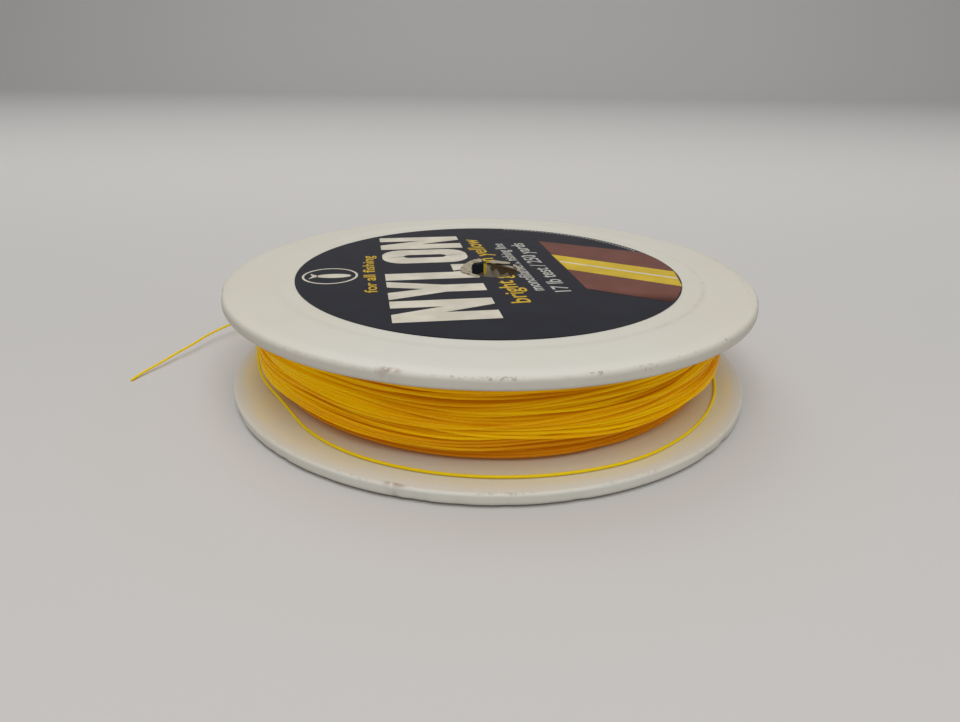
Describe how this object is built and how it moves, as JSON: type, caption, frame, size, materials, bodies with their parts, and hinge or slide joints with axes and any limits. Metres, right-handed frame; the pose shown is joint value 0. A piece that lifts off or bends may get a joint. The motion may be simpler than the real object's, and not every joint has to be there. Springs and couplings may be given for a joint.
{
  "type": "fishing line spool",
  "caption": "Flat round filler spool of fishing line: two flanged plastic halves on a hollow hub, yellow line wound between them, torn paper label.",
  "frame": {"origin": "on the spool's axis, at the face that it rests on", "axes": "+Z along the spool's axis towards the front label; +X and +Y lie in the flange's plane, with the free end of the line on the -X side"},
  "size_m": [0.1153, 0.096, 0.0202],
  "materials": {
    "spool_plastic": "aged white moulded polystyrene, soft sheen, slightly yellowed, grime in the rim",
    "label_paper": "coated paper printed navy with pale and yellow marks, torn at the centre",
    "line": "clear fluorescent yellow nylon monofilament, slightly translucent",
    "tape": "thin tan adhesive tape"
  },
  "bodies": {
    "spool": {"upper_half": "spool_plastic", "lower_half": "spool_plastic", "front_label": "label_paper", "back_label": "label_paper", "line_winding": "line", "anchor_tape": "tape"},
    "free_line": {"loose_turn": "line", "line_tail": "line"}
  },
  "joints": [
    {"name": "line_payoff", "type": "hinge", "parent": "spool", "child": "free_line", "pos_m": [0, 0, 0.00275], "axis": [0, 0, 1], "continuous": true}
  ]
}
